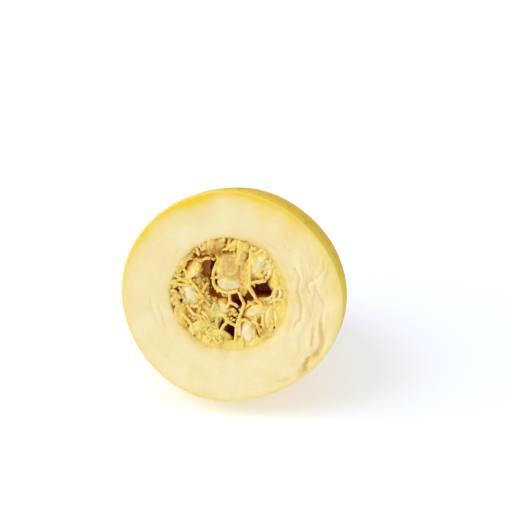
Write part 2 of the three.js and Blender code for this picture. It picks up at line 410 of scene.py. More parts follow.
# What the knife left on the cut: at (right, up) from the fruit's middle, in mm.
knife = {  # depths in mm: long waves, ripples, fibres round the cut, creases and their ridges
    "waves": 0.16, "ripples": 0.05, "fibres": 0.045, "crease": 0.34, "creaseRidge": 0.2,
    "creaseWide": 6.2, "creaseWarp": 1.6, "grooveShare": 0.66,
}
grooves = [  # path, width, depth, where less than 0 is a ridge, and how much darker yellow painted shade lies in it
    ([(-46.5, -5), (-45, -11), (-41.5, -19)], 0.9, 0.55, 0.1),
    ([(-41, -9.5), (-38.5, -15), (-37, -19)], 0.8, 0.4, 0.1),
    ([(20.5, 34.5), (24, 32), (27.5, 30.5)], 0.35, 0.3, 0.2),
    ([(30, 34), (31.5, 32), (34, 30.6)], 0.4, 0.35, 0.2),
    ([(-32.5, 24.5), (-30.5, 27)], 0.4, 0.35, 0.2),
    ([(37.4, 20.4), (40.5, 15.5), (39.7, 7.7), (42.4, 0), (42.4, -7.8), (39.3, -12.5)], 0.75, 0.7, 0.3),
    ([(40.2, 20.8), (42.8, 15.5), (42, 7.4), (44.8, 0), (44.6, -7.8), (42.5, -13.5)], 1.2, -0.5, 0),
    ([(53.9, 26.3), (53.4, 21.7), (50.4, 17.1), (44.7, 12.4), (46.6, 7)], 0.6, 0.55, 0.3),
    ([(55.6, 25), (55.2, 20.4), (52, 15.2), (47.4, 11.6), (49, 6.6)], 1.1, -0.45, 0),
    ([(47.8, 15.5), (51.6, 7.7), (55.9, 0.7), (54.3, -8)], 0.9, 0.6, 0.15),
    ([(54.3, -10), (54.8, -15.4), (56.6, -20.3), (53.9, -28.8)], 1.2, 1.1, 0.55),
    ([(52.2, -9), (52.6, -16), (54, -21), (51.5, -28)], 1, -0.5, 0),
    ([(50.4, -13), (50.1, -18), (49.7, -23.2)], 0.8, 0.6, 0.4),
    ([(48.8, -30.4), (46.6, -35), (48.2, -38.4), (45.8, -41.6)], 1.1, 1.5, 0.8),
    ([(46.2, -29.6), (44.6, -35), (45.8, -39), (43.4, -42)], 1, -0.4, 0),
    ([(37.5, -45), (34, -46.4), (31.5, -45.6)], 0.7, 0.35, 0.3),
    ([(46.5, 0), (48, -6), (47, -13), (45, -19)], 1.1, 0.35, 0.1),
]
hollows = [  # middle, long half, short half, turn in degrees, depth, and how much darker yellow painted shade lies in it
    ((56, -17.5), 5.5, 1.6, 78, 0.5, 0.5), ((52, -28), 4.8, 1.9, 62, 0.8, 0.75),
    ((46, -38), 4.6, 2.4, 60, 0.7, 0.65), ((36, -44.5), 3.5, 1.3, 24, 0.3, 0.3),
    ((41.5, 3), 8, 2.2, 82, 0.25, 0.22), ((47, 17), 5, 2.4, 60, 0.25, 0.2),
]


def rindPoints(along, angle):  # on the rind, with its ribs and dents, and the dimple round the stem
    share = along / fruit["halfLength"]
    fullness = np.sqrt(np.maximum(1 - share ** fruit["bluntness"], 0))
    radius = fullness.copy()
    for perTurn, part, peak in fruit["waves"]:
        radius += fullness * part * np.cos(perTurn * (angle - peak))
    x = fruit["cutWidth"] / 2 * radius * np.cos(angle)
    z = fruit["cutHeight"] / 2 * radius * np.sin(angle)
    reach = np.hypot(x, z)
    ridge = fruit["ribHeight"] * share ** 4 * fullness * np.cos(2 * fruit["stemRibs"] * angle)
    uneven = fruit["dents"] * fullness * smooth(0, 0.04, share)
    seenAt = columns(x, along, z)
    ridge = ridge + uneven * (bumps(seenAt, 34, 3) + 0.35 * bumps(seenAt, 9, 4))
    scale = np.maximum(reach + ridge, 0) / np.maximum(reach, 1e-6)
    x, z, reach = x * scale, z * scale, reach * scale
    dimple = fruit["dimpleDepth"] * np.exp(-((reach / fruit["dimpleRadius"]) ** 2))
    return columns(x, along - dimple, z)


def cavityPoints(along, angle):  # on its wall, which is half an egg with three soft lobes
    fullness = np.sqrt(np.maximum(1 - (along / cavity["depth"]) ** 2, 0))
    lobe = 1 + cavity["lobeShare"] * np.cos(cavity["lobes"] * (angle - math.pi / 2))
    x = cavity["right"] + cavity["width"] / 2 * fullness * lobe * np.cos(angle)
    z = cavity["up"] + cavity["height"] / 2 * fullness * lobe * np.sin(angle)
    return columns(x, along, z)


def tornEdge(points):  # the cavity's edge wanders in and out, because the pulp tore away from the flesh
    inner = points - cavityMiddle
    around = inner * [1, 0, 1]
    around *= (cavity["width"] / 2 / np.maximum(np.linalg.norm(around, axis=1), 1e-6))[:, None]
    sway = cavity["torn"] * (bumps(around, 7, 5) + 0.7 * bumps(around, 2.8, 6))
    fade = smooth(cavity["tornReach"], 0, points[:, 1]) * sway / (cavity["width"] / 2)
    return points + inner * [1, 0, 1] * fade[:, None]


def outness(right, up):  # 0 in the cavity's middle and 1 at its edge
    return np.hypot(right / (cavity["width"] / 2), up / (cavity["height"] / 2))


def spotAt(reach, turn):
    halves = reach * np.array([cavity["width"], cavity["height"]]) / 2
    return halves * [math.cos(turn), math.sin(turn)]


def softEdge(angle):  # 1 where the flesh melts into the pulp, low and to the right; 0 where it is crisp
    return facing(angle, 150, 0.3, -0.15)


def distanceToPath(points, path):
    nearest = np.full(len(points), 1e9)
    path = np.asarray(path, float)
    for a, b in zip(path[:-1], path[1:]):
        t = np.clip((points - a) @ (b - a) / ((b - a) @ (b - a)), 0, 1)
        nearest = np.minimum(nearest, np.linalg.norm(points - a - t[:, None] * (b - a), axis=1))
    return nearest


def atDepth(plane, depth):  # (right, up) places, with how deep they lie put between
    return columns(plane[:, 0], depth, plane[:, 1])


def cutRelief(points):  # how deep the surface of the cut lies below a flat one, in mm, and how much painted shade lies in its hollows
    plane = points[:, [0, 2]]
    flat = atDepth(plane, 0)
    reach = np.hypot(*plane.T)
    angle = np.degrees(np.arctan2(plane[:, 1], plane[:, 0]))
    depth = knife["waves"] * bumps(flat, 22, 11) + knife["ripples"] * bumps(flat, 5, 12, 2)
    turned = columns(reach / 0.9, np.cos(np.radians(angle)) * 9, np.sin(np.radians(angle)) * 9)
    depth += knife["fibres"] * bumps(turned, 1, 13, 2)
    sideways = smooth(-52, -20, angle) * smooth(52, 26, angle)
    sideways = sideways * smooth(35, 40, reach) * smooth(62, 57, reach)
    warped = flat + knife["creaseWarp"] * atDepth(wander(flat, 9, 14, 15), 0)
    ribbon = bumps(warped * [1, 0, 0.3], knife["creaseWide"], 19, 2)  # most run up and down the cut
    ridges = knife["creaseRidge"] * smooth(0.3, 0, np.abs(ribbon))
    depth += sideways * (ridges + knife["crease"] * ribbon)
    hollowShade = 0 * reach
    shaken = plane + 0.5 * wander(flat, 3, 16, 17)
    for path, width, deep, yellow in grooves:
        share = np.exp(-((distanceToPath(shaken, path) / width) ** 2))
        depth += knife["grooveShare"] * deep * share
        hollowShade = np.maximum(hollowShade, yellow * share)
    for middle, longHalf, shortHalf, turn, deep, yellow in hollows:
        x, z = turnedPlace(shaken, middle, turn, longHalf, shortHalf)
        share = np.exp(-(x ** 2 + z ** 2))
        depth += deep * share
        hollowShade = np.maximum(hollowShade, yellow * share)
    return depth, hollowShade


def makeFruit():
    around = fruit["around"]
    angle = turnsOf(around)
    ones = np.ones(around)
    rings = []
    steps = np.sin((np.arange(fruit["rindRings"]) + 1) / (fruit["rindRings"] + 1) * math.pi / 2)
    for step in steps[::-1]:
        if step * fruit["halfLength"] > 2 * fruit["rimRound"]:
            rings.append(rindPoints(step * fruit["halfLength"] * ones, angle))
    rim = rindPoints(0 * ones, angle)
    rimReach = np.hypot(rim[:, 0], rim[:, 2])
    chip = fruit["chip"]
    nearChip = np.exp(-((angle - math.radians(chip["at"])) / chip["wide"]) ** 2)
    rimRound = fruit["rimRound"] + chip["deep"] * nearChip
    for turn in np.radians(fruit["rimTurns"]):
        inset, along = rimRound * (1 - np.cos(turn)), rimRound * (1 - np.sin(turn))
        rings.append(rim * (1 - inset / rimReach)[:, None] + np.outer(along, [0, 1, 0]))
    rimRings = fruit["rimRings"]
    rindEnd = len(rings) - rimRings
    start = rim * (1 - rimRound / rimReach)[:, None]
    end = tornEdge(cavityPoints(0 * ones, angle))
    span = np.linalg.norm(start - end, axis=1)
    soft = softEdge(np.arctan2(end[:, 2] - cavity["up"], end[:, 0] - cavity["right"]))
    softWidth, softDrop = [least + more * soft for least, more in (fruit["edgeSoft"], fruit["edgeDrop"])]
    hollowShade, coreTint = [np.zeros(around)] * rimRings, [np.zeros(around)] * rimRings
    rimTint = [0.2 + 0.6 * facing(angle, 105, 0.0, 0.9)] * rimRings
    # the yellow of the rind creeps into the flesh, most at the upper left and the upper right
    upperLeft, upperRight = facing(angle, 134, 0.6, 0.99), facing(angle, 42, 0.6, 0.98)
    top = smooth(0.7, 0.98, np.sin(angle))
    for share in np.linspace(0, 1, fruit["cutRings"]):
        ring = start * (1 - share) + end * share
        depth, dip = cutRelief(ring)
        fromRim, fromCore = share * span, (1 - share) * span
        depth = depth * smooth(0, 1.2, fromRim) * smooth(0, 0.6, fromCore)
        depth += softDrop * smooth(softWidth, 0, fromCore) ** 1.5
        ring[:, 1] = depth
        rings.append(ring)
        flat = ring * [1, 0, 1]
        reach = (1.5 + 3.2 * upperLeft + 5.5 * upperRight + 0.6 * top) * (1 + 0.5 * bumps(flat, 11, 21))
        strength = 0.45 + 0.5 * upperLeft + 0.5 * top + 0.15 * upperRight
        strength = strength * (1 + 0.35 * bumps(flat, 14, 22))
        rimTint.append(np.clip(strength * np.exp(-(fromRim / np.maximum(reach, 0.4)) ** 1.2), 0, 1))
        coreReach = (2.2 + 1.8 * soft) * (1 + 0.5 * bumps(flat, 9, 23))
        coreTint.append(np.clip((0.6 + 0.35 * soft) * np.exp(-(fromCore / coreReach) ** 1.3), 0, 1))
        hollowShade.append(dip)
    cutEnd = len(rings)
    edgeDepth = rings[-1][:, 1]
    for step in (np.arange(fruit["wallRings"]) + 1) / (fruit["wallRings"] + 1):
        along = edgeDepth + (cavity["depth"] - edgeDepth) * np.sin(step * math.pi / 2)
        rings.append(tornEdge(cavityPoints(along, angle)))
    firstPole = [0, fruit["halfLength"] - fruit["dimpleDepth"], 0]
    lastPole = [cavity["right"], cavity["depth"], cavity["up"]]
    points, faces = closedRings(rings, firstPole, lastPole)
    place = laid(points)
    place[:, 2] = np.maximum(place[:, 2], fruit["floorGap"] * mm)
    piece = meshPiece("squashHalf", place, faces, [rindMaterial, fleshMaterial])
    kinds = np.zeros(len(faces), int)
    kinds[(rindEnd - 1) * around:] = 1
    kinds[-2 * around::2] = 0
    kinds[-2 * around + 1::2] = 1
    piece.data.polygons.foreach_set("material_index", kinds)
    before, after = rindEnd * around, len(points) - cutEnd * around
    for name, onRim, values, onWall in (("rimTint", 0.8, rimTint, 0), ("coreTint", 0, coreTint, 0.9),
                                        ("hollowShade", 0, hollowShade, 0)):
        setNumbers(piece, name, np.concatenate([np.full(before, onRim), *values, np.full(after, onWall)]))
    # the grain runs round the cut, and from end to end on the rind; these are mm times a stretch
    reach = np.hypot(points[:, 0], points[:, 2])
    turn = np.arctan2(points[:, 2], points[:, 0])
    onRind = np.arange(len(points)) < before
    grain = np.where(onRind[:, None],
                     columns(points[:, 1] / 26, np.cos(turn) * 16, np.sin(turn) * 16),
                     columns(reach / 1.1, np.cos(turn) * 7, np.sin(turn) * 7))
    setVectors(piece, "grain", grain)
    stemShare = smooth(0.25, 1.0, points[:, 1] / fruit["halfLength"]) * onRind
    setNumbers(piece, "stemEnd", stemShare)
    setNumbers(piece, "cutEnd", smooth(20, 1, points[:, 1]) * onRind)
    scarReach = fruit["scar"] + 2.5 * np.cos(2 * fruit["stemRibs"] * turn) + 2 * bumps(points, 6, 31)
    scar = smooth(scarReach + 2.5, scarReach - 1.5, reach)
    setNumbers(piece, "scar", onRind * (points[:, 1] > 80) * scar)
    finishPiece(piece, "rind_and_flesh", "squash_half")
    return piece


makeFruit()


stem = {
    "baseRadius": 14, "waistRadius": 8.6, "topRadius": 9.6, "length": 9, "root": 6, "pith": 1.6,
    "ribShare": 0.16, "around": 200, "rings": 60, "topRings": 22, "cracks": 0.45,
}


def makeStem():
    around = stem["around"]
    angle = turnsOf(around)
    seat = fruit["halfLength"] - fruit["dimpleDepth"]
    start, end = seat - stem["root"], seat + stem["length"]
    marks = [0, 0.3, 0.52, 0.74, 0.9, 1]
    radii = [stem["baseRadius"], stem["baseRadius"] * 0.98, stem["waistRadius"] * 1.22,
             stem["waistRadius"], stem["waistRadius"] * 1.02, stem["topRadius"]]
    profile = curveThrough(columns(marks, radii), 12)
    rings, pith = [], []

    def ringAt(height, radius, depth=0.0):
        ribs = 1 + stem["ribShare"] * np.cos(fruit["stemRibs"] * angle) \
            + 0.035 * np.cos(2 * fruit["stemRibs"] * angle + 0.6)
        x, z = np.cos(angle), np.sin(angle)
        probe = columns(x * 9, height * 5, z * 9)
        rough = stem["cracks"] * (bumps(probe, 2.6, 41, 3) + 0.6 * bumps(probe * [2.4, 0.5, 2.4], 2.5, 42))
        reach = radius * ribs + rough * min(1, radius / stem["waistRadius"])
        return columns(reach * x, start + height * (end - start) - depth, reach * z)

    for height in np.linspace(0, 1, stem["rings"]):
        radius = np.interp(height, profile[:, 0], profile[:, 1])
        rings.append(ringAt(height, radius))
        pith.append(np.zeros(around))
    for share in np.linspace(0.96, 0.04, stem["topRings"]):
        ring = ringAt(1, stem["topRadius"] * share, stem["pith"] * smooth(1.0, 0.35, share))
        ring[:, 1] += 0.4 * bumps(ring, 2.2, 43, 2)
        rings.append(ring)
        pith.append(np.full(around, float(smooth(0.9, 0.4, share))))
    firstPole = [0, start, 0]
    lastPole = [0, end - stem["pith"], 0]
    points, faces = closedRings(rings[::-1], lastPole, firstPole)
    piece = meshPiece("stemPiece", laid(points), faces, [stemMaterial])
    turn = np.arctan2(points[:, 2], points[:, 0])
    setVectors(piece, "grain", columns(points[:, 1] / 7, np.cos(turn) * 8, np.sin(turn) * 8))
    setNumbers(piece, "pith", np.concatenate([*pith[::-1], [1.0, 0.0]]))
    finishPiece(piece, "stem", "stem")


makeStem()


seedShape = {"length": 14, "width": 8.8, "thickness": 3, "around": 40, "rows": 36}


def seedAxes(node):  # where a CAD seed lies: its middle, and its long, thin and wide directions
    places = np.array([vertex.co for vertex in frame["nodes"][node].data.vertices])
    places = np.unique(np.round(places, 7), axis=0)
    _, _, turned = np.linalg.svd(places - places.mean(0), full_matrices=False)
    longWay, wideWay, thinWay = turned
    spans = (places - places.mean(0)) @ longWay
    middle = places.mean(0) + longWay * (spans.max() + spans.min()) / 2
    if (spans.max() + spans.min()) < 0:  # the blunt end holds more points, and belongs at the start
        longWay = -longWay
    thinWay = np.cross(wideWay, longWay)
    return middle, longWay, thinWay, wideWay


# Places below are (right, up) from the cavity's middle, in mm, and depths are down from the cut.
pulp = {
    "depth": 3.2, "hills": 0.9, "fibres": 0.9, "fibreWide": 1.7, "fibreLong": 9, "overlap": 2.2,
    "around": 420, "rows": 86, "back": 21, "voxel": 0.34, "keep": 0.42, "warp": 0.8, "deepest": 18.5,
    "squareness": 2.6,  # of the pockets: 2 is an ellipse
    # the sky, gap and deep numbers set the painted shade in the pulp's gaps and pockets
    "skyHalf": 36, "skyCells": 144, "skyBlur": 3.4, "gapFull": 2.4, "gapFrom": -0.2,
    "deepFrom": 4.5, "deepFull": 13, "meltDepth": 1.45, "crispDepth": 2.1, "brimDepth": 7, "tintPlain": 0.46,
}
pockets = [  # middle, half width, half height, turn in degrees, depth
    ((-9.7, 9.3), 2.5, 9.6, 3, 27), ((-14.3, 14), 3.4, 6.6, 8, 9.5), ((-14.2, 6), 2.8, 4.5, 12, 6),
    ((-6.8, -1.6), 4.6, 2.6, -28, 11), ((-2.8, -4.4), 3.8, 2.8, -12, 9.5), ((6, -4), 5.2, 3.6, -8, 14),
    ((13.2, -0.6), 2.6, 3.2, -15, 12), ((4.3, -7.6), 2.8, 1.7, 0, 18), ((5.5, -14.2), 2.6, 1.9, 10, 20),
    ((6.6, -11.6), 1.5, 2.6, 14, 16), ((3, -21.4), 3.7, 6, -4, 20), ((-2.8, -19.6), 1.1, 2.5, -10, 10),
    ((20, 3.4), 6.8, 4.3, 8, 26), ((24.2, 8), 2.7, 4.4, 10, 24), ((9.5, 21.8), 1.6, 2, 0, 9),
    ((-5.8, 23), 4.4, 3, 2, 6), ((2.2, 30.6), 1.3, 0.9, 0, 5), ((-32.6, -3), 1.7, 1, 0, 6),
    ((-28, 8.2), 1.8, 1.2, 20, 6), ((-25.3, 12.6), 1.5, 1.1, 35, 6), ((-21.6, 8), 1.7, 1.4, 10, 7),
    ((-30, 4), 1.6, 1.6, 0, 6), ((19.8, -21.5), 0.8, 2.9, 22, 8), ((29.4, -14.5), 0.7, 5.4, -6, 6.5),
    ((-18.6, -9.5), 0.8, 2.6, -30, 6), ((-28.5, -13.5), 2, 0.9, -20, 6.5),
    ((-25.8, -18.6), 1.2, 1.4, 0, 6), ((-14.6, -9.2), 1, 1.2, 0, 7),
]
lumps = [  # middle, depth, half sizes right, along, up, turn in degrees: seeds' sacs and swollen membranes
    ((-0.2, 14.4), 5, (9, 4.3, 9.2), 18), ((3.4, 17.6), 5.6, (4.4, 4.4, 6), -10),
    ((7.8, 14.5), 5, (1.8, 3.8, 9), 4), ((0.6, 4.6), 6.2, (8.2, 4.2, 6), -4),
    ((9.8, 10), 4.8, (1.6, 3.6, 8.5), 6), ((14.2, 17), 4.6, (3.4, 3.4, 6.4), 10),
    ((18.6, 12), 4.8, (4.4, 3.2, 2.6), -24), ((22.4, 17), 4.6, (1.6, 3.2, 4), -30),
    ((-22.2, -3.8), 6, (6.2, 4, 6.4), 20), ((15.8, -9.8), 6, (8.4, 4.2, 4.4), 24),
    ((12.2, -21), 5.8, (5.2, 3.8, 7.4), 2), ((25.4, -12.5), 5.2, (4.2, 4, 8.4), 4),
    ((18.4, -27.4), 5, (6.8, 3.8, 4), 24), ((19.8, 22.6), 4.6, (4.4, 3.6, 6), -38),
    ((-19.4, 11), 5, (4.6, 3, 2.4), 32), ((-26.2, 4.6), 5, (4, 3, 2.2), -24),
    ((-17.5, -16.5), 5.6, (6, 3.2, 2.4), 42), ((-5.6, -12), 4.6, (5.8, 3.2, 2.2), -30),
    ((4, -9.6), 3.4, (2.2, 1.5, 1.1), -20), ((5.4, -12.4), 3.6, (1.9, 1.5, 1), 24),
    ((2.6, -15.6), 3.6, (2.3, 1.5, 0.9), -8), ((1, 27.4), 4.2, (4.2, 3.4, 2.8), 0),
    ((-9.4, -17.6), 5, (1.8, 3.2, 4.6), 16), ((-8.6, -25.4), 4.6, (5.4, 3, 1.6), -14),
    ((27.8, 1), 4.4, (2.6, 3.2, 4.6), 4), ((8.8, 27.8), 3.8, (2.8, 2.8, 3.6), 4),
]
tintSpots = [  # middle, reach, tint from 0, cream, to 1, orange brown
    ((-5.2, 23.4), 4.6, 1), ((-1, 16.6), 7, 0.76), ((-7.2, 13), 1.8, 0.2), ((1.6, 11), 2.6, 0.7),
    ((0.6, 5.4), 4, 0.42), ((-6.6, 6), 2.4, 0.3), ((6.6, 4.6), 2.6, 0.55), ((8.2, 12), 3.4, 0.8),
    ((7.6, 20), 3, 0.6), ((9.6, 27), 3, 0.2), ((12.4, 12), 1.8, 0.25), ((15.4, 16), 3.6, 0.25),
    ((19.5, 22.6), 4.6, 0.24), ((18.4, 10.6), 3.6, 0.38), ((23.6, 14), 3, 0.16), ((28, 1), 4, 0.28),
    ((-22.2, -4), 4.6, 0.12), ((-28.4, 5), 4, 0.6), ((-19.5, 11), 3.6, 0.28), ((-14, 20.5), 4.4, 0.6),
    ((-12, -3.2), 3.6, 0.8), ((-14.6, 2.4), 3.6, 0.7), ((-30, -4), 3, 0.7), ((-27.4, -12), 3.4, 0.55),
    ((-19, -13), 4, 0.25), ((-15, -20.5), 4.5, 0.3), ((-22, -21), 4, 0.35), ((-8.5, -9), 3, 0.4),
    ((-2.8, -10.6), 3, 0.2), ((-6.8, -17), 3, 0.8), ((-6, -24.5), 3.6, 0.36), ((-12, -27.5), 5, 0.5),
    ((1, -29.5), 6, 0.56), ((12, -21.5), 4, 0.16), ((9, -14.6), 2.4, 0.55), ((15.4, -9.4), 4.8, 0.25),
    ((20.4, -4.4), 3, 0.55), ((25.5, -12), 4, 0.22), ((19.6, -18), 3, 0.5), ((18.6, -28.4), 3.6, 0.2),
    ((26, -23.4), 5, 1.3), ((1, 27.6), 4, 0.42), ((-3, 29.6), 3, 0.5), ((16, 27.6), 3, 0.45),
]
cells = {  # pits between the walls of torn pulp
    "seed": 33, "tries": 2400, "spacing": 3.9, "stretch": 1.6, "wall": 1.8, "deep": 3.6,
    "lowerShare": 0.45, "least": 0.7,
}
lobes = {  # along, across and down in mm, where reach 1 is the edge
    "seed": 31, "count": 40, "arc": (84, 222), "reach": (0.9, 1.0), "long": (1.8, 3.4), "depth": (1.0, 1.7),
}
sacs = {  # each seed's number: how much larger its sac is, and how far down it lies
    1: (1, 1), 2: (1.3, 0.3), 3: (1, 0.9), 4: (1, 1.1), 5: (1, 0.6), 6: (0.9, 0.5), 7: (1.2, 0),
    8: (1, 0.3), 9: (0.8, 0.2), 10: (1.3, 0), 11: (1.2, 0), 12: (1.3, 0), 13: (1.3, 0),
    14: (1.2, 0.3), 15: (1.2, 0.1), 16: (1.3, 0.2), 17: (1.2, 0), 18: (1.3, 0),
}
fringes = [  # stops (right, up, depth) of lips with torn beads along them, how many, size
    ([(-8.6, 9.9, 1.8), (-8.6, 5.7, 1.4), (-6.5, 2.6, 1.6), (-2.6, -0.8, 2), (1.2, -0.5, 2.4)], 20, 0.7),
    ([(13.9, 6.6, 1.8), (17, 8, 1.4), (20.4, 8.6, 1.4), (22.4, 12, 1.8)], 15, 0.75),
    ([(25.4, -0.8, 1.6), (26.8, 2, 1.6)], 4, 0.9),
    ([(2.4, -8.6, 2.4), (4.9, -10.4, 2), (6.6, -12.4, 2.2), (7.4, -14.6, 2.6)], 9, 0.75),
    ([(1.4, -14.6, 2.2), (4.2, -15.6, 2.2), (6.8, -16.6, 2.4)], 7, 0.6),
    ([(-17.4, 18.4, 1.8), (-13.6, 19.6, 1.6), (-9.4, 19.6, 1.8)], 9, 0.95),
    ([(-23.2, 11.6, 1.8), (-19.6, 13.6, 1.6), (-17, 16.6, 1.8)], 8, 1),
    ([(-3.6, 25.4, 1.8), (1.2, 26.8, 1.4), (5, 25.8, 1.8)], 6, 1),
    ([(17.6, 9.6, 2.4), (20.8, 11.6, 2), (22.6, 15.6, 2)], 6, 0.8),
]


def cellStrength(plane):  # how deep the pits between the walls of torn pulp are: most at the upper left
    turn = np.degrees(np.arctan2(plane[:, 1], plane[:, 0])) % 360
    edge = outness(*plane.T)
    upperLeft = smooth(78, 96, turn) * smooth(232, 212, turn) * smooth(0.66, 0.8, edge)
    lowerLeft = smooth(170, 190, turn) * smooth(292, 272, turn) * smooth(0.3, 0.5, edge)
    return cells["deep"] * np.maximum(upperLeft, cells["lowerShare"] * lowerLeft) + cells["least"]


def cellMiddles():  # one for each pit, none nearer to another than the spacing
    chance = random.Random(cells["seed"])
    made = []
    for _ in range(cells["tries"]):
        turn = chance.uniform(0, 2 * math.pi)
        reach = 1.02 * math.sqrt(chance.random())
        spot = spotAt(reach, turn)
        if all(np.hypot(*(spot - other)) > cells["spacing"] for other in made):
            made.append(spot)
    return np.array(made)


def cellPits(plane):
    outwards = middles / np.linalg.norm(middles, axis=1)[:, None]
    nearest, second, pit = np.full(len(plane), 99.0), np.full(len(plane), 99.0), np.zeros(len(plane))
    for spot, way, deep in zip(middles, outwards, pitDepths):
        away = plane - spot
        distance = np.hypot(away @ way / cells["stretch"], away @ [-way[1], way[0]])
        closer = distance < nearest
        second = np.where(closer, nearest, np.minimum(second, distance))
        nearest = np.where(closer, distance, nearest)
        pit = np.where(closer, deep, pit)
    return pit * smooth(0.2, cells["wall"], second - nearest)


middles = cellMiddles()
pitDepths = cellStrength(middles) * np.random.default_rng(cells["seed"]).uniform(0.35, 1, len(middles))


def bedDepth(plane):  # how deep the pulp's surface lies at places on the cut
    flat = atDepth(plane, 0)
    reach = np.hypot(*plane.T)
    angle = np.arctan2(plane[:, 1], plane[:, 0])
    edge = outness(*plane.T) / (1 + cavity["lobeShare"] * np.cos(cavity["lobes"] * (angle - math.pi / 2)))
    depth = pulp["depth"] + pulp["hills"] * (bumps(flat, 6.5, 51) + 0.35 * bumps(flat, 2.8, 52))
    # fibres run out from the middle to the wall
    turned = angle + 0.25 * bumps(flat, 12, 58)
    ring = cavity["width"] / 3 / pulp["fibreWide"]
    along = columns(reach / pulp["fibreLong"], ring * np.cos(turned), ring * np.sin(turned))
    fibre = bumps(along, 1, 59, 2)
    depth += pulp["fibres"] * smooth(7, 15, reach) * (0.4 - np.abs(fibre))
    depth += cellPits(plane + 0.5 * wander(flat, 2.6, 44, 45))
    melt = softEdge(angle) * smooth(0.7, 0.95, edge)
    depth = depth * (1 - melt) + (pulp["meltDepth"] + 0.4 * bumps(flat, 3, 53, 2)) * melt
    crisp = (1 - softEdge(angle)) * smooth(0.9, 1.0, edge)
    depth = depth * (1 - crisp) + (pulp["crispDepth"] + 0.8 * bumps(flat, 2.4, 60)) * crisp
    warp = pulp["warp"] * wander(flat, 3.0, 54, 55, octaves=2)
    square = pulp["squareness"]
    for middle, halfWidth, halfHeight, turn, deep in pockets:
        x, z = turnedPlace(plane + warp, middle, turn, halfWidth, halfHeight)
        away = (np.abs(x) ** square + np.abs(z) ** square) ** (1 / square)
        deep = min(deep, pulp["deepest"])
        depth = np.maximum(depth, depth + (deep - depth) * smooth(1.14, 0.78, away))
    return depth


def ownPlaces(piece):  # a piece's points in mm from the cavity's middle
    return standing(meshPoints(piece.data)) - cavityMiddle


def skyCell(own):  # each point's cell in a grid across the cavity
    share = (own[:, [0, 2]] / pulp["skyHalf"] + 1) / 2
    return (share * pulp["skyCells"]).astype(int).clip(0, pulp["skyCells"] - 1).T


def skyline(pieces):  # how deep the open face of the pulp lies, smoothed, on that grid
    top = np.full((pulp["skyCells"], pulp["skyCells"]), np.inf)
    for piece in pieces:
        own = ownPlaces(piece)
        column, row = skyCell(own)
        np.minimum.at(top, (column, row), own[:, 1])
    top = np.where(np.isinf(top), pulp["depth"], np.minimum(top, pulp["brimDepth"]))
    reach = 9
    steps = np.arange(-reach, reach + 1)
    weights = np.exp(-(steps / pulp["skyBlur"]) ** 2)
    weights /= weights.sum()
    for axis in (0, 1):
        padded = np.pad(top, [(reach, reach) if axis == side else (0, 0) for side in (0, 1)], mode="edge")
        top = np.apply_along_axis(np.convolve, axis, padded, weights, mode="valid")
    return top


def markPulp(pieces, sky):  # what the pulp's material reads: how deep and how far down a gap, for its painted shade, and how orange
    for piece in pieces:
        own = ownPlaces(piece)
        inside = outness(own[:, 0], own[:, 2])
        column, row = skyCell(own)
        # painted shade grows with depth below the cut, and with depth below the pulp's smoothed top
        deep = (own[:, 1] - pulp["deepFrom"]) / pulp["deepFull"]
        gapShade = (own[:, 1] - sky[column, row] - pulp["gapFrom"]) / pulp["gapFull"]
        setNumbers(piece, "deep", np.clip(deep, 0, 1) * (inside < 1.2))
        setNumbers(piece, "gapShade", np.clip(gapShade, 0, 1))
        weight = np.full(len(own), 0.12)
        total = weight * pulp["tintPlain"]
        for middle, reach, value in tintSpots:
            near = np.exp(-((own[:, 0] - middle[0]) ** 2 + (own[:, 2] - middle[1]) ** 2) / reach ** 2)
            weight += near
            total += near * value
        tint = total / weight + 0.16 * bumps(own, 3.0, 56, 2) + 0.16 * bumps(own, 7, 57)
        soft = softEdge(np.arctan2(own[:, 2], own[:, 0])) * smooth(0.86, 1.0, inside)
        tint += 0.6 * soft * (0.34 - tint)
        if "own" in piece.data.attributes:  # strands are paler or darker than what they lie on
            shift = np.zeros(len(own), np.float32)
            piece.data.attributes["own"].data.foreach_get("value", shift)
            tint = 0.55 * tint + shift
            piece.data.attributes.remove(piece.data.attributes["own"])
        setNumbers(piece, "tint", np.clip(tint, 0, 1))


def turnedAxes(turn):  # right, along and up, turned on the cut by degrees
    c, s = cosSin(turn)
    return np.array([[c, 0, s], [0, 1, 0], [-s, 0, c]])


def ellipsoid(middle, halves, axes, around=24, rows=12):  # middle and axes are right, along, up
    rings = []
    angle = turnsOf(around)
    for k in range(1, rows):
        tilt = k / rows * math.pi
        rings.append(columns(np.sin(tilt) * np.cos(angle), np.cos(tilt), np.sin(tilt) * np.sin(angle)))
    points, faces = closedRings(rings, [0, 1, 0], [0, -1, 0])
    return middle + points * halves @ axes, faces


def tornLobes():  # scallops of pulp that hang on the cavity's edge at the upper left
    chance = random.Random(lobes["seed"])
    made = []
    for _ in range(lobes["count"]):
        turn = math.radians(chance.uniform(*lobes["arc"]))
        reach = chance.uniform(*lobes["reach"])
        outwards = chance.uniform(*lobes["long"])
        across = outwards * chance.uniform(0.42, 0.66)
        right, up = spotAt(reach, turn)
        place = [right, chance.uniform(*lobes["depth"]) + 12 * (1 - reach), up]
        axes = turnedAxes(math.degrees(turn) + chance.gauss(0, 16))
        made.append((place, (outwards, across, across), axes))
    return made


def seedSacs():  # the skin of pulp round each seed, which hides more of some seeds than of others
    made = []
    for number, (grow, sink) in sacs.items():
        middle, *ways = seedAxes(f"seed_{number:02d}")
        own = standing(middle) - cavityMiddle + [0, sink, 0]
        halves = (7 + grow, 1.5 + grow / 2, 4.4 + grow)
        made.append((own, halves, np.array(ways) @ fruitAxes.T))
    return made


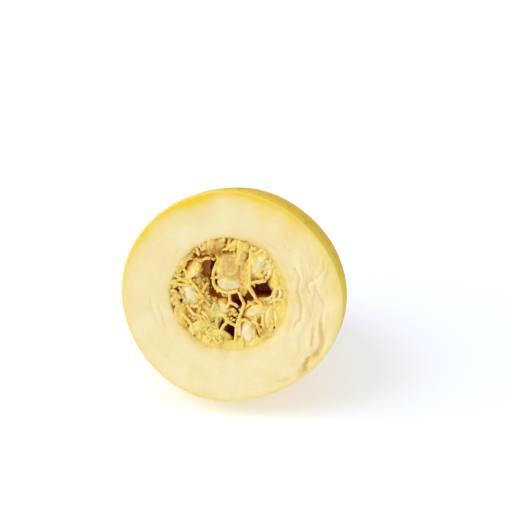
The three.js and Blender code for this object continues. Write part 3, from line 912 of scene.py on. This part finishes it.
# Strands: tubes along lines, thickest in the middle, made by one tree of nodes for all of them.
strands = {
    "sides": 7, "seed": 8, "spacing": 0.55, "fused": 0.52, "leastFused": 0.27,
    "fillers": 130, "straws": 120, "strawArc": (166, 268),
}
placedStrands = [  # stops (right, up, depth), radius, tint
    ([(-7.6, 16.6, 2.8), (-8.7, 12, 2.4), (-8.6, 6, 1.8), (-6.6, 2.2, 2.2)], 0.5, 0),
    ([(-7.6, 16.6, 2.8), (-5, 19.8, 3), (0, 22, 2.8), (4.6, 22.6, 2.6)], 0.42, 0.1),
    ([(0.6, 10.6, 1.8), (3.6, 12.2, 1.2), (5.4, 15.6, 1.6)], 0.45, 0.05),
    ([(12.2, 25.6, 2.4), (12.5, 14, 1.4), (13.2, 5, 1), (16.2, 0, 1.2), (20.8, -4.6, 1.6)], 0.72, 0.18),
    ([(13.2, 5.4, 1.6), (17.2, -1.4, 1.2), (21.4, -5.4, 1.6)], 0.85, 0.5),
    ([(10.4, 17, 2.6), (10.8, 10, 1.8), (11.4, 4, 1.8)], 0.7, 0.3),
    ([(5.6, 32, 1.6), (5.2, 26, 1.2), (5.4, 20, 1.4), (5, 13.6, 2.2)], 0.6, 0.1),
    ([(7, 31, 1.8), (6.6, 27, 1.4), (7.2, 23.6, 2)], 0.45, 0.15),
    ([(8.4, 19.6, 3), (9.6, 17.2, 2.4), (9.6, 14.6, 2.6)], 0.5, 0.05),
    ([(-7.4, 8.6, 2.2), (-4.6, 9.8, 1.4), (-1, 9.4, 1.6), (3, 8.2, 2.2)], 0.45, 0.3),
    ([(-6.8, 3.4, 2), (-3.8, 1.2, 1.6), (1.4, 0.4, 1.8), (6.4, 2.2, 2)], 0.5, 0.25),
    ([(1.3, 0, 1.8), (1.5, -4.6, 1.8), (0.1, -8.4, 2.6)], 0.36, 0.1),
    ([(1.5, -4.6, 1.8), (4, -5.8, 2), (6.4, -7.4, 3)], 0.34, 0.12),
    ([(7, 1.2, 1.8), (8.6, -2.2, 2), (10.4, -6, 3)], 0.38, 0.15),
    ([(10.2, -4.6, 2.4), (8.8, -11, 1.4), (6.9, -18, 1.2), (6.2, -27.6, 2)], 0.7, 0.22),
    ([(8.4, -14, 1.4), (8.2, -20, 1.6), (8.6, -24, 2.4)], 0.4, 0.4),
    ([(-24.4, 8.6, 1.6), (-18.4, 2, 1), (-13.8, -3.4, 1), (-9.8, -8, 1.6)], 0.66, 0.3),
    ([(-21, 2, 2.4), (-17.6, -2.6, 1.8), (-13, -5.6, 2.6)], 0.4, 0.4),
    ([(-26.8, 12.6, 2.2), (-24.4, 8.4, 1.6), (-24.8, 2.6, 2.4)], 0.45, 0.2),
    ([(-2, -12.4, 2), (0.8, -16.2, 1.6), (-1.6, -20, 1.8), (-3.4, -25.4, 2.4)], 0.4, 0.12),
    ([(0.8, -16.2, 1.6), (3.6, -17.4, 1.8), (6.6, -19, 2.4)], 0.42, 0.05),
    ([(-12, -22.6, 2), (-9, -24.6, 1.4), (-5, -25, 1.4), (-1.4, -22.4, 2)], 0.6, 0.5),
    ([(-34, -1.4, 1.4), (-30.4, -1.6, 1), (-27.6, -5.2, 1.8)], 0.6, 0.1),
    ([(-29, -12.6, 2), (-24, -15.8, 1), (-20.4, -20, 1), (-18.6, -26.4, 1.8)], 0.5, 0.4),
    ([(-24, -9, 2.4), (-19.4, -13.6, 1.4), (-13.8, -15.4, 2.2)], 0.4, 0.2),
    ([(-14.6, -12, 1.8), (-10.4, -15, 1.4), (-9.6, -20.4, 1.6)], 0.5, 0.45),
    ([(15.6, -14.6, 2.6), (18.8, -17, 1.6), (20.8, -22, 1.6), (23.6, -24.6, 2.6)], 0.45, 0.1),
    ([(21.4, -10, 2.6), (22, -15.4, 1.6), (24, -19.6, 2.4)], 0.4, 0.1),
    ([(28.4, -7.6, 2.2), (29.8, -12, 1.4), (29.4, -16.4, 2.2)], 0.4, 0.15),
    ([(8, -16.4, 2.4), (11.4, -14.4, 1.6), (15.4, -17, 2)], 0.4, 0.5),
    ([(26.6, 11.4, 2.2), (28, 5.6, 1.4), (27.4, -0.4, 1.4), (28.4, -4.4, 2.2)], 0.45, 0.05),
    ([(13.8, 7.4, 1.8), (17, 8.6, 1.6), (21.4, 9.4, 1.6)], 0.4, 0.1),
    ([(27.6, 5.6, 1.4), (31, 6.4, 1.2), (34, 5.4, 1.6)], 0.35, 0.7),
    ([(27.4, -1, 1.4), (31, -0.6, 1.2), (34.2, -1.6, 1.6)], 0.4, 0.6),
    ([(22.6, 10.6, 1.8), (24.6, 15, 1.4), (23.6, 20, 2)], 0.5, 0.4),
    ([(15, 24, 2.4), (19.6, 27.2, 1.4), (23, 23.6, 2)], 0.5, 0.6),
]


def strandTree():  # edges in, tubes out
    tree, (sides,) = nodeGroup("strandTree", Sides="Int")
    start = addNode(tree, "NodeGroupInput")
    radius = addNode(tree, "GeometryNodeInputNamedAttribute", {"data_type": "FLOAT"}, {"Name": "radius"})
    lines = addNode(tree, "GeometryNodeMeshToCurve", None, {"Mesh": start})
    sized = addNode(tree, "GeometryNodeSetCurveRadius", None, {"Curve": lines, "Radius": radius})
    section = addNode(tree, "GeometryNodeCurvePrimitiveCircle", {"mode": "RADIUS"},
                      {"Resolution": start.outputs["Sides"], "Radius": mm})
    tubes = addNode(tree, "GeometryNodeCurveToMesh", None,
                    {"Curve": sized, "Profile Curve": section, "Fill Caps": True})
    dressOutput(tree, tubes, pulpMaterial)
    return tree, sides


def tubesFrom(name, lines, tree):  # lines are (points in mm, radii, tint)
    points, edges, radii, tints = [], [], [], []
    for line, radius, tint in lines:
        first = len(radii)
        points.append(line)
        radii.extend(radius)
        tints.extend([tint] * len(line))
        edges.extend([[first + k, first + k + 1] for k in range(len(line) - 1)])
    worker = meshPiece(name + "Lines", laid(np.vstack(points)), [], edges=edges)
    setNumbers(worker, "radius", radii)
    setNumbers(worker, "own", 0.3 * np.array(tints))
    group, sides = tree
    return runTree(worker, name, group, {sides: strands["sides"]})


def flared(count, radius, chance):  # thin where it is stretched, wider where it joins the pulp
    t = np.linspace(0, 1, count)
    shape = 0.62 + 0.7 * np.exp(-(t / 0.1) ** 2) + 0.7 * np.exp(-((1 - t) / 0.1) ** 2)
    return radius * shape * (1 + 0.16 * np.sin(t * chance.uniform(8, 20) + chance.uniform(0, 6)))


def tapered(count, radius, tip, wobble, chance):  # thick in the middle, thin at both torn ends
    t = np.linspace(0, 1, count)
    shape = tip + (1 - tip) * np.minimum(1, 4 * np.minimum(t, 1 - t))
    return radius * shape * (1 + wobble * np.sin(t * chance.uniform(8, 20) + chance.uniform(0, 6)))


def placedLines():
    chance = random.Random(strands["seed"])
    lines = []
    for stops, radius, tint in placedStrands:
        line = curveThrough([[x, depth, z] for x, z, depth in stops], 9)
        line += 0.3 * wander(line, 2.6, 71, 72, 73)
        radii = np.maximum(strands["fused"] * flared(len(line), radius, chance), strands["leastFused"])
        lines.append((line + cavityMiddle, radii, tint))
    return lines


def makePulpBed():
    around, rows = pulp["around"], pulp["rows"]
    angle = turnsOf(around)
    rings = []
    edge = cavityPoints(0 * angle, angle) - cavityMiddle
    reach = np.hypot(edge[:, 0], edge[:, 2])
    edge *= ((reach + pulp["overlap"]) / reach)[:, None]
    for k in range(1, rows + 1):
        ring = edge * (k / rows)
        ring[:, 1] = bedDepth(ring[:, [0, 2]])
        rings.append(ring)
    for step in (0.3, 0.6, 1.0):
        ring = cavityPoints(pulp["back"] * step + 0 * angle, angle) - cavityMiddle
        ring[:, [0, 2]] *= ((reach + pulp["overlap"] / 2) / reach)[:, None]
        ring[:, 1] = rings[rows - 1][:, 1] * (1 - step) + pulp["back"] * step
        rings.append(ring)
    centre = [0, float(bedDepth(np.zeros((1, 2)))[0]), 0]
    points, faces = closedRings(rings, centre, [0, pulp["back"], 0])
    allPoints, allFaces = [], []

    def addPart(more, moreFaces):
        count = sum(map(len, allPoints))
        allPoints.append(more)
        allFaces.extend([count + k for k in face] for face in moreFaces)

    addPart(points, [face[::-1] for face in faces])
    for (right, up), deep, halves, turn in lumps:
        more, moreFaces = ellipsoid([right, deep, up], halves, turnedAxes(turn))
        addPart(more + 0.4 * wander(more, 4, 61, 62, 63), moreFaces)
    for place, halves, axes in tornLobes() + seedSacs():
        more, moreFaces = ellipsoid(place, halves, axes, 36, 18)
        addPart(more + 0.45 * wander(more, 2.4, 64, 65, 66), moreFaces)
    tubes = tubesFrom("fusedStrands", placedLines(), strandTree())
    addPart(ownPlaces(tubes), [face.vertices for face in tubes.data.polygons])
    bpy.data.meshes.remove(tubes.data)
    worker = meshPiece("pulpWorker", laid(np.vstack(allPoints) + cavityMiddle), allFaces, [pulpMaterial])
    modify(worker, "REMESH", mode="VOXEL", voxel_size=pulp["voxel"] * mm, use_smooth_shade=True)
    modify(worker, "SMOOTH", factor=0.5, iterations=1)
    modify(worker, "DECIMATE", ratio=pulp["keep"])
    piece = plainMesh(worker, "pulpBed")
    piece.data.polygons.foreach_set("use_smooth", [True] * len(piece.data.polygons))
    # the hidden back is pushed down to the cavity's wall
    own = ownPlaces(piece)
    share = 1 - (own[:, 0] / (cavity["width"] / 2)) ** 2 - (own[:, 2] / (cavity["height"] / 2)) ** 2
    wall = (cavity["depth"] - 1) * np.sqrt(np.clip(share, 0.02, 1))
    push = smooth(pulp["back"] - 1.6, pulp["back"] - 0.6, own[:, 1])
    own[:, 1] += push * np.maximum(wall - own[:, 1], 0)
    piece.data.vertices.foreach_set("co", laid(own + cavityMiddle).astype(np.float32).ravel())
    piece.data.update()
    finishPiece(piece, "pulp", "pulp")
    return piece


pulpPieces = [makePulpBed()]


def finishStrands(name, lines, tree):
    piece = tubesFrom(name, lines, tree)
    finishPiece(piece, "pulp")
    pulpPieces.append(piece)


def makeStrands():
    chance = random.Random(strands["seed"] + 1)
    tree = strandTree()
    lines = []
    while len(lines) < strands["fillers"]:  # fine fibres that lie on the pulp and mostly run outwards
        reach = 0.98 * math.sqrt(chance.uniform(0.08, 1))
        turn = chance.uniform(0, 2 * math.pi)
        spot = spotAt(reach, turn)
        heading = turn + chance.choice([0, 0, 0, math.pi / 2]) + chance.gauss(0, 0.4)
        bend = chance.gauss(0, 0.07)
        path = [spot]
        for _ in range(chance.randint(8, 26)):
            heading += bend + chance.gauss(0, 0.1)
            spot = spot + strands["spacing"] * np.array([math.cos(heading), math.sin(heading)])
            if outness(*spot) > 1.0:
                break
            path.append(spot)
        if len(path) < 6:
            continue
        path = np.array(path)
        depth = bedDepth(path)
        if depth.max() > 7 or reach * softEdge(turn) > 0.75:
            continue
        depth = np.convolve(np.pad(depth, 2, mode="edge"), np.ones(5) / 5, mode="valid")
        lift = chance.uniform(-0.1, 0.5)
        radius = chance.choice([0.14, 0.17, 0.2, 0.25])
        line = atDepth(path, np.maximum(depth - lift, 0.5)) + cavityMiddle
        radii = tapered(len(line), radius, 0.25, 0.15, chance)
        lines.append((line, radii, chance.uniform(0.0, 1.0)))
    finishStrands("fineStrands", lines, tree)

    lines = []
    while len(lines) < strands["straws"]:  # short stiff ends that the knife left across each other
        turn = math.radians(chance.uniform(*strands["strawArc"]))
        reach = chance.uniform(0.35, 0.9)
        spot = spotAt(reach, turn)
        heading = math.radians(chance.choice([-52, -30, 20, 48, 76]) + chance.gauss(0, 14))
        t = np.linspace(-0.5, 0.5, 12)[:, None] * chance.uniform(4, 10)
        path = spot + t * np.array([math.cos(heading), math.sin(heading)]) + 0.03 * t ** 2
        depth = bedDepth(path)
        if outness(*path.T).max() > 1 or depth.max() > 8:
            continue
        level = np.linspace(depth[0], depth[-1], 12) - chance.uniform(0.5, 1.7)
        line = atDepth(path, np.maximum(level, 0.6)) + cavityMiddle
        radii = tapered(12, chance.uniform(0.2, 0.36), 0.45, 0.1, chance)
        lines.append((line, radii, chance.uniform(0.3, 1.0)))
    finishStrands("strawStrands", lines, tree)


makeStrands()


# Torn ends of strands: a few at the upper left of the cavity's edge, and beads along the torn lips.
knobs = {"seed": 12, "count": 9, "sizes": (0.7, 1.2), "rough": 0.42, "roughSize": 1.3}


def knobTree():  # points in, knobbly lumps out
    tree, (rough, seed) = nodeGroup("knobTree", Rough="Float", Seed="Int")
    start = addNode(tree, "NodeGroupInput")
    ball = addNode(tree, "GeometryNodeMeshIcoSphere", None, {"Radius": mm, "Subdivisions": 3})
    size = addNode(tree, "GeometryNodeInputNamedAttribute", {"data_type": "FLOAT"}, {"Name": "size"})
    ranges = [((0, 0, 0), (6.28, 6.28, 6.28)), ((0.6, 0.6, 0.6), (1.7, 1.1, 1.1))]
    turn, stretch = [addNode(tree, "FunctionNodeRandomValue", {"data_type": "FLOAT_VECTOR"},
                             {0: least, 1: most, "Seed": start.outputs["Seed"]}) for least, most in ranges]
    scale = addNode(tree, "ShaderNodeVectorMath", {"operation": "SCALE"}, {0: stretch, "Scale": size})
    spread = addNode(tree, "GeometryNodeInstanceOnPoints", None,
                     {"Points": start, "Instance": ball, "Rotation": turn, "Scale": scale})
    real = addNode(tree, "GeometryNodeRealizeInstances", None, {"Geometry": spread})
    noise = addNode(tree, "ShaderNodeTexNoise", None,
                    {"Vector": addNode(tree, "GeometryNodeInputPosition"),
                     "Scale": 1 / (knobs["roughSize"] * mm), "Detail": 2.0})
    centred = addNode(tree, "ShaderNodeVectorMath", {"operation": "SUBTRACT"},
                      {0: noise.outputs["Color"], 1: (0.5, 0.5, 0.5)})
    shove = addNode(tree, "ShaderNodeMath", {"operation": "MULTIPLY"},
                    {0: start.outputs["Rough"], 1: 4 * mm})
    offset = addNode(tree, "ShaderNodeVectorMath", {"operation": "SCALE"}, {0: centred, "Scale": shove})
    rugged = addNode(tree, "GeometryNodeSetPosition", None, {"Geometry": real, "Offset": offset})
    dressOutput(tree, rugged, pulpMaterial)
    return tree, rough, seed


def makeKnobs():
    chance = random.Random(knobs["seed"])
    points, sizes, tints = [], [], []
    for _ in range(knobs["count"]):
        turn = math.radians(chance.triangular(96, 212, 150))
        reach = 1.0 - abs(chance.gauss(0.01, 0.06))
        right, up = spotAt(reach, turn)
        points.append([right, 1.0 + chance.uniform(0, 1.4) + 9 * (1 - reach), up])
        sizes.append(chance.uniform(*knobs["sizes"]))
        tints.append(chance.uniform(-0.1, 0.2))
    for stops, count, size in fringes:
        lip = curveThrough([[x, depth, z] for x, z, depth in stops], 12)
        for k in range(count):
            at = lip[round((k + 0.5) / count * (len(lip) - 1))]
            points.append(at + [chance.gauss(0, 0.5), chance.gauss(0, 0.35), chance.gauss(0, 0.5)])
            sizes.append(size * chance.uniform(0.45, 1.35))
            tints.append(chance.uniform(0, 0.25))
    worker = meshPiece("knobPoints", laid(np.array(points) + cavityMiddle), [])
    setNumbers(worker, "size", sizes)
    setNumbers(worker, "own", tints)
    group, rough, seed = knobTree()
    piece = runTree(worker, "tornEnds", group, {rough: knobs["rough"], seed: knobs["seed"]})
    finishPiece(piece, "pulp")
    pulpPieces.append(piece)


makeKnobs()


def makeSeed(number):
    node = f"seed_{number:02d}"
    middle, longWay, thinWay, wideWay = seedAxes(node)
    rows, around = seedShape["rows"], seedShape["around"]
    angle = turnsOf(around)
    chance = random.Random(100 + number)
    fat = chance.uniform(0.95, 1.06)
    rings, margin = [], []
    for k in range(1, rows):
        u = 0.5 - 0.5 * math.cos(math.pi * k / rows)
        half = math.sin(math.pi * u ** 0.78) ** 0.62 * (1 - 0.16 * u) * seedShape["width"] / 2 * fat
        across = np.cos(angle)
        lens = np.abs(np.sin(angle)) ** 0.8
        belly = (1 - across ** 2) ** 0.35
        bead = np.exp(-((np.abs(across) - 0.88) / 0.07) ** 2)
        ends = math.sin(math.pi * u) ** 0.5
        thick = seedShape["thickness"] / 2 * ends * lens * (0.86 * belly + 0.26 * bead) / 0.95
        side = np.sign(np.sin(angle))
        rings.append(columns((u - 0.5) * seedShape["length"], side * thick, across * half))
        margin.append(np.maximum(bead, 1 - ends) + 0 * angle)
    points, faces = closedRings(rings, [-seedShape["length"] / 2, 0, 0], [seedShape["length"] / 2, 0, 0])
    points += 0.16 * wander(points, 4, 200 + number, 230 + number, 260 + number)
    place = middle + mm * points @ np.array([longWay, thinWay, wideWay])
    piece = meshPiece(f"seedPiece{number:02d}", place, faces, [seedMaterial])
    setNumbers(piece, "margin", np.concatenate([*margin, [1, 1]]))
    finishPiece(piece, "seed", node)
    return piece


seedCount = sum(name.startswith("seed_") for name in frame["nodes"])
seedPieces = [makeSeed(number) for number in range(1, seedCount + 1)]
markPulp(pulpPieces, skyline(pulpPieces + seedPieces))
print("pulp marked")


studio = {
    "floorHalf": 4.0, "floorDrop": 0.0004, "floorGlow": 0.487, "worldLight": 0.61, "sunLight": 1.46,
    "sunSoftness": 50, "sunFrom": (-0.72, -0.4, 0.9),
}
view = {"lens": 85, "azimuth": 12.7, "elevation": 28.3, "distance": 697, "aimRight": 15.9, "aimUp": 24.2}


def makeStudio():
    material, tree = newMaterial("paleFloor")
    soft = blended(tree, ramped(tree, grains(tree, 400, 2.0), 0.3, 0.7), "#bfc8d8", "#c2cbda")
    surface(tree, soft, {"Roughness": 0.9, "Emission Color": "#ffffff",
                         "Emission Strength": studio["floorGlow"]})
    half, drop = studio["floorHalf"], -studio["floorDrop"]
    corners = [(-half, -half, drop), (half, -half, drop), (half, half, drop), (-half, half, drop)]
    floor = meshPiece("floor", corners, [[0, 1, 2, 3]], [material])
    world = bpy.data.worlds.new("studioWorld")
    world.use_nodes = True
    light = world.node_tree.nodes["Background"].inputs
    light["Color"].default_value = (1, 1, 1, 1)
    light["Strength"].default_value = studio["worldLight"]
    bpy.context.scene.world = world
    sun = bpy.data.lights.new("keyLight", "SUN")
    sun.energy = studio["sunLight"]
    sun.angle = math.radians(studio["sunSoftness"])
    linked("keyLight", sun).rotation_euler = Vector(studio["sunFrom"]).to_track_quat("Z", "Y").to_euler()
    bpy.context.scene.view_settings.view_transform = "Standard"


def makeCamera():
    azimuth, elevation = math.radians(view["azimuth"]), math.radians(view["elevation"])
    towards = Vector((math.sin(azimuth) * math.cos(elevation), -math.cos(azimuth) * math.cos(elevation),
                      math.sin(elevation)))
    middle = Vector(fruitOrigin)
    place = middle + towards * view["distance"] * mm
    cameraRight = Vector((math.cos(azimuth), math.sin(azimuth), 0))
    cameraUp = towards.cross(cameraRight)
    aim = middle + (cameraRight * view["aimRight"] + cameraUp * view["aimUp"]) * mm
    lens = bpy.data.cameras.new("camera")
    lens.lens = view["lens"]
    lens.sensor_width = 36
    camera = linked("camera", lens)
    camera.location = place
    camera.rotation_euler = (aim - place).to_track_quat("-Z", "Y").to_euler()
    bpy.context.scene.camera = camera


makeStudio()
makeCamera()
print("studio made")
